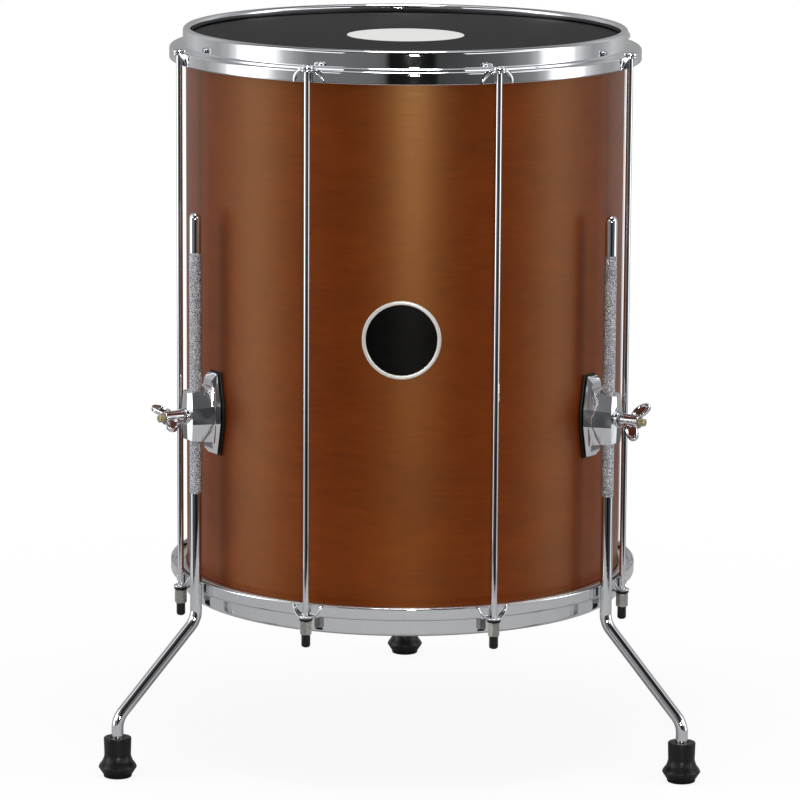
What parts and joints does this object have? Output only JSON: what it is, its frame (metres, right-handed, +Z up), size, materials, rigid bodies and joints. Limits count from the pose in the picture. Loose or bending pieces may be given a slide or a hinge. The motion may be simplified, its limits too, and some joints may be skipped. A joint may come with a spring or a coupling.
{
  "type": "surdo",
  "caption": "Large floor-standing surdo drum with a stained wooden shell, chrome hoops, tension rods, black head and splayed, height-adjustable legs on rubber feet.",
  "frame": {"origin": "on the floor under the middle of the whole object's box, which lies a little behind the drum's axis because the rear leg splays out", "axes": "+Z up along the drum's axis, -Y towards the badge at the front, +X to the right seen from the front"},
  "size_m": [0.62, 0.6128, 0.7567],
  "materials": {
    "stained_wood": "satin lacquer over amber stain with fine horizontal grain",
    "chrome": "polished",
    "black_film": "fine matte texture",
    "clear_film": "translucent white, fine matte",
    "aluminium": "plain",
    "zinc": "zinc plated",
    "black_plastic": "moulded",
    "rubber": "satin moulded",
    "brass": "dull yellow-passivated thread",
    "black_enamel": "gloss"
  },
  "bodies": {
    "drum": {"shell": "stained_wood", "top_hoop": "chrome", "bottom_hoop": "chrome", "top_head": "black_film", "bottom_head": "clear_film", "top_flesh_hoop": "aluminium", "bottom_flesh_hoop": "aluminium", "badge_disc": "black_enamel", "badge_rim": "aluminium", "tension_rod_1": "chrome", "rod_washer_1": "black_plastic", "tension_rod_2": "chrome", "rod_washer_2": "black_plastic", "tension_rod_3": "chrome", "rod_washer_3": "black_plastic", "tension_rod_4": "chrome", "rod_washer_4": "black_plastic", "tension_rod_5": "chrome", "rod_washer_5": "black_plastic", "tension_rod_6": "chrome", "rod_washer_6": "black_plastic", "tension_rod_7": "chrome", "rod_washer_7": "black_plastic", "tension_rod_8": "chrome", "rod_washer_8": "black_plastic", "bracket_gasket_left": "rubber", "leg_bracket_left": "chrome", "clamp_washer_left": "zinc", "upper_bracket_screw_left": "zinc", "lower_bracket_screw_left": "zinc", "bracket_gasket_right": "rubber", "leg_bracket_right": "chrome", "clamp_washer_right": "zinc", "upper_bracket_screw_right": "zinc", "lower_bracket_screw_right": "zinc", "bracket_gasket_rear": "rubber", "leg_bracket_rear": "chrome", "clamp_washer_rear": "zinc", "upper_bracket_screw_rear": "zinc", "lower_bracket_screw_rear": "zinc"},
    "tuning_nut_1_body": {"tuning_nut_1": "zinc"},
    "tuning_nut_2_body": {"tuning_nut_2": "zinc"},
    "tuning_nut_3_body": {"tuning_nut_3": "zinc"},
    "tuning_nut_4_body": {"tuning_nut_4": "zinc"},
    "tuning_nut_5_body": {"tuning_nut_5": "zinc"},
    "tuning_nut_6_body": {"tuning_nut_6": "zinc"},
    "tuning_nut_7_body": {"tuning_nut_7": "zinc"},
    "tuning_nut_8_body": {"tuning_nut_8": "zinc"},
    "wing_nut_left_body": {"wing_nut_left": "chrome"},
    "eye_bolt_left_body": {"eye_bolt_left": "brass"},
    "leg_left_body": {"leg_left": "chrome", "rubber_foot_left": "rubber"},
    "wing_nut_right_body": {"wing_nut_right": "chrome"},
    "eye_bolt_right_body": {"eye_bolt_right": "brass"},
    "leg_right_body": {"leg_right": "chrome", "rubber_foot_right": "rubber"},
    "wing_nut_rear_body": {"wing_nut_rear": "chrome"},
    "eye_bolt_rear_body": {"eye_bolt_rear": "brass"},
    "leg_rear_body": {"leg_rear": "chrome", "rubber_foot_rear": "rubber"}
  },
  "joints": [
    {"name": "tuning_nut_1_turn", "type": "hinge", "parent": "drum", "child": "tuning_nut_1_body", "pos_m": [0.09535, -0.29081, 0.169], "axis": [0, 0, 1], "continuous": true},
    {"name": "tuning_nut_2_turn", "type": "hinge", "parent": "drum", "child": "tuning_nut_2_body", "pos_m": [0.23021, -0.15596, 0.169], "axis": [0, 0, 1], "continuous": true},
    {"name": "tuning_nut_3_turn", "type": "hinge", "parent": "drum", "child": "tuning_nut_3_body", "pos_m": [0.23021, 0.03476, 0.169], "axis": [0, 0, 1], "continuous": true},
    {"name": "tuning_nut_4_turn", "type": "hinge", "parent": "drum", "child": "tuning_nut_4_body", "pos_m": [0.09535, 0.16961, 0.169], "axis": [0, 0, 1], "continuous": true},
    {"name": "tuning_nut_5_turn", "type": "hinge", "parent": "drum", "child": "tuning_nut_5_body", "pos_m": [-0.09535, 0.16961, 0.169], "axis": [0, 0, 1], "continuous": true},
    {"name": "tuning_nut_6_turn", "type": "hinge", "parent": "drum", "child": "tuning_nut_6_body", "pos_m": [-0.23021, 0.03476, 0.169], "axis": [0, 0, 1], "continuous": true},
    {"name": "tuning_nut_7_turn", "type": "hinge", "parent": "drum", "child": "tuning_nut_7_body", "pos_m": [-0.23021, -0.15596, 0.169], "axis": [0, 0, 1], "continuous": true},
    {"name": "tuning_nut_8_turn", "type": "hinge", "parent": "drum", "child": "tuning_nut_8_body", "pos_m": [-0.09535, -0.29081, 0.169], "axis": [0, 0, 1], "continuous": true},
    {"name": "wing_nut_left_turn", "type": "hinge", "parent": "drum", "child": "wing_nut_left_body", "pos_m": [-0.23403, -0.21433, 0.3701], "axis": [-0.8358, -0.549, 0], "range_deg": [0, 430]},
    {"name": "eye_bolt_left_slide", "type": "slide", "parent": "drum", "child": "eye_bolt_left_body", "axis": [0.8358, 0.549, 0], "range_m": [0, 0.0015]},
    {"name": "leg_left_slide", "type": "slide", "parent": "drum", "child": "leg_left_body", "axis": [0, 0, 1], "range_m": [-0.15, 0.13]},
    {"name": "wing_nut_right_turn", "type": "hinge", "parent": "drum", "child": "wing_nut_right_body", "pos_m": [0.23403, -0.21433, 0.3701], "axis": [0.8358, -0.549, 0], "range_deg": [0, 430]},
    {"name": "eye_bolt_right_slide", "type": "slide", "parent": "drum", "child": "eye_bolt_right_body", "axis": [-0.8358, 0.549, 0], "range_m": [0, 0.0015]},
    {"name": "leg_right_slide", "type": "slide", "parent": "drum", "child": "leg_right_body", "axis": [0, 0, 1], "range_m": [-0.15, 0.13]},
    {"name": "wing_nut_rear_turn", "type": "hinge", "parent": "drum", "child": "wing_nut_rear_body", "pos_m": [0, 0.2194, 0.3701], "axis": [0, 1, 0], "range_deg": [0, 430]},
    {"name": "eye_bolt_rear_slide", "type": "slide", "parent": "drum", "child": "eye_bolt_rear_body", "axis": [0, -1, 0], "range_m": [0, 0.0015]},
    {"name": "leg_rear_slide", "type": "slide", "parent": "drum", "child": "leg_rear_body", "axis": [0, 0, 1], "range_m": [-0.15, 0.13]}
  ],
  "couplings": [
    {"joint": "eye_bolt_left_slide", "follows": "wing_nut_left_turn", "m_per_rad": 0.00019894},
    {"joint": "eye_bolt_right_slide", "follows": "wing_nut_right_turn", "m_per_rad": 0.00019894},
    {"joint": "eye_bolt_rear_slide", "follows": "wing_nut_rear_turn", "m_per_rad": 0.00019894}
  ]
}
